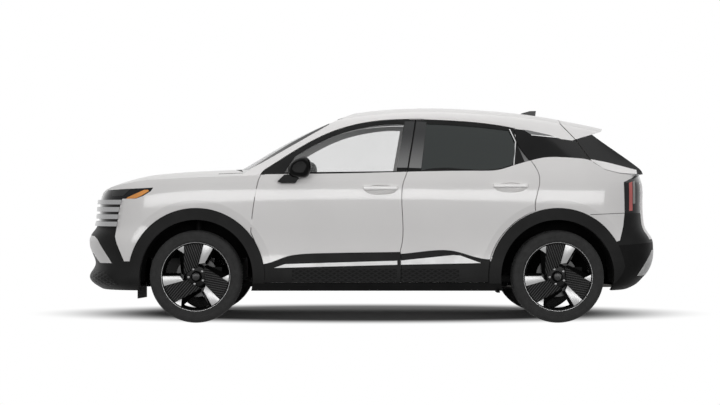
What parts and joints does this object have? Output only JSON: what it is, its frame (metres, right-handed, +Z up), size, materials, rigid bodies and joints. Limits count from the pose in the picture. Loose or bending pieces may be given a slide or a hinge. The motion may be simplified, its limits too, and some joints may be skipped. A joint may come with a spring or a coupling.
{
  "type": "suv",
  "caption": "Compact five-door crossover with opening doors, bonnet and liftgate, steered front wheels and four rolling wheels",
  "frame": {"origin": "on the ground under the middle of the overall length and width", "axes": "+X to the tail, -Y to the driver's side on the left, +Z up"},
  "size_m": [4.3598, 2.0328, 1.6121],
  "materials": {
    "white_paint": "solid white clear-coated paint",
    "black_plastic": "grained black plastic",
    "gloss_black": "gloss black",
    "satin_chrome": "satin chrome",
    "lamp_glass": "smoked clear lens",
    "tail_lens": "red lens",
    "silver_plastic": "silver-grey plastic",
    "window_glass": "light tinted glass",
    "dark_glass": "privacy glass",
    "underbody": "dark underseal",
    "liner_plastic": "black arch liner",
    "cast_steel": "dark castings",
    "cast_aluminium": "cast block",
    "exhaust_steel": "dull steel",
    "cabin_plastic": "soft black trim",
    "seat_fabric": "black cloth",
    "tyre_rubber": "black rubber",
    "alloy": "machined and dark painted alloy"
  },
  "bodies": {
    "body": {"arch_claddings": "black_plastic", "cowl": "black_plastic", "dashboard": "cabin_plastic", "engine_block": "cast_aluminium", "exhaust": "exhaust_steel", "floor_pan": "underbody", "front_bumper": "white_paint", "front_bumper_lower": "black_plastic", "front_fenders": "white_paint", "front_seats": "seat_fabric", "front_subframe": "cast_steel", "grille": "gloss_black", "grille_slats": "satin_chrome", "headlamps": "lamp_glass", "quarter_trims": "gloss_black", "rear_axle": "cast_steel", "rear_bumper": "black_plastic", "rear_seat": "seat_fabric", "rear_skid_plate": "silver_plastic", "roof_fin": "gloss_black", "roof_panel": "white_paint", "side_frames": "white_paint", "sill_claddings": "black_plastic", "tail_lamps": "tail_lens", "wheel_liners": "liner_plastic", "windscreen": "window_glass"},
    "front_left_door": {"front_door_left": "white_paint", "front_door_trim_left": "black_plastic", "front_door_glass_left": "window_glass"},
    "front_left_wheel": {"tyre_front_left": "tyre_rubber", "rim_front_left": "alloy"},
    "front_right_door": {"front_door_right": "white_paint", "front_door_trim_right": "black_plastic", "front_door_glass_right": "window_glass"},
    "front_right_wheel": {"tyre_front_right": "tyre_rubber", "rim_front_right": "alloy"},
    "rear_left_door": {"rear_door_left": "white_paint", "rear_door_trim_left": "black_plastic", "rear_door_glass_left": "window_glass"},
    "rear_left_wheel": {"tyre_rear_left": "tyre_rubber", "rim_rear_left": "alloy"},
    "rear_right_door": {"rear_door_right": "white_paint", "rear_door_trim_right": "black_plastic", "rear_door_glass_right": "window_glass"},
    "rear_right_wheel": {"tyre_rear_right": "tyre_rubber", "rim_rear_right": "alloy"},
    "bonnet_lid": {"bonnet": "white_paint"},
    "tailgate": {"liftgate": "white_paint", "liftgate_trim": "gloss_black", "liftgate_glass": "dark_glass"},
    "left_knuckle": {"knuckle_left": "cast_steel"},
    "right_knuckle": {"knuckle_right": "cast_steel"},
    "steering_control": {"steering_wheel": "cabin_plastic"}
  },
  "joints": [
    {"name": "front_left_door_hinge", "type": "hinge", "parent": "body", "child": "front_left_door", "pos_m": [-0.8815, -0.8945, 0.9], "axis": [0, 0, -1], "range_deg": [0, 68]},
    {"name": "rear_left_door_hinge", "type": "hinge", "parent": "body", "child": "rear_left_door", "pos_m": [0.2195, -0.8945, 0.9], "axis": [0, 0, -1], "range_deg": [0, 68]},
    {"name": "front_right_door_hinge", "type": "hinge", "parent": "body", "child": "front_right_door", "pos_m": [-0.8815, 0.8945, 0.9], "axis": [0, 0, 1], "range_deg": [0, 68]},
    {"name": "rear_right_door_hinge", "type": "hinge", "parent": "body", "child": "rear_right_door", "pos_m": [0.2195, 0.8945, 0.9], "axis": [0, 0, 1], "range_deg": [0, 68]},
    {"name": "bonnet_hinge", "type": "hinge", "parent": "body", "child": "bonnet_lid", "pos_m": [-0.943, 0, 1.15], "axis": [0, 1, 0], "range_deg": [0, 55]},
    {"name": "tailgate_hinge", "type": "hinge", "parent": "body", "child": "tailgate", "pos_m": [1.4185, 0, 1.533], "axis": [0, -1, 0], "range_deg": [0, 78]},
    {"name": "left_steer", "type": "hinge", "parent": "body", "child": "left_knuckle", "pos_m": [-1.291, -0.705, 0.252], "axis": [0, 0.2308, 0.973], "range_deg": [-35, 35]},
    {"name": "right_steer", "type": "hinge", "parent": "body", "child": "right_knuckle", "pos_m": [-1.291, 0.705, 0.252], "axis": [0, -0.2308, 0.973], "range_deg": [-35, 35]},
    {"name": "steering_turn", "type": "hinge", "parent": "body", "child": "steering_control", "pos_m": [-0.33013, -0.3568, 0.90465], "axis": [0.9063, 0, 0.4226], "range_deg": [-490, 490]},
    {"name": "front_left_spin", "type": "hinge", "parent": "left_knuckle", "child": "front_left_wheel", "pos_m": [-1.291, -0.775, 0.34], "axis": [0, 1, 0], "continuous": true},
    {"name": "front_right_spin", "type": "hinge", "parent": "right_knuckle", "child": "front_right_wheel", "pos_m": [-1.291, 0.775, 0.34], "axis": [0, 1, 0], "continuous": true},
    {"name": "rear_left_spin", "type": "hinge", "parent": "body", "child": "rear_left_wheel", "pos_m": [1.367, -0.775, 0.34], "axis": [0, 1, 0], "continuous": true},
    {"name": "rear_right_spin", "type": "hinge", "parent": "body", "child": "rear_right_wheel", "pos_m": [1.367, 0.775, 0.34], "axis": [0, 1, 0], "continuous": true}
  ],
  "couplings": [
    {"joint": "right_steer", "follows": "left_steer", "ratio": 1},
    {"joint": "steering_turn", "follows": "left_steer", "ratio": 14}
  ]
}
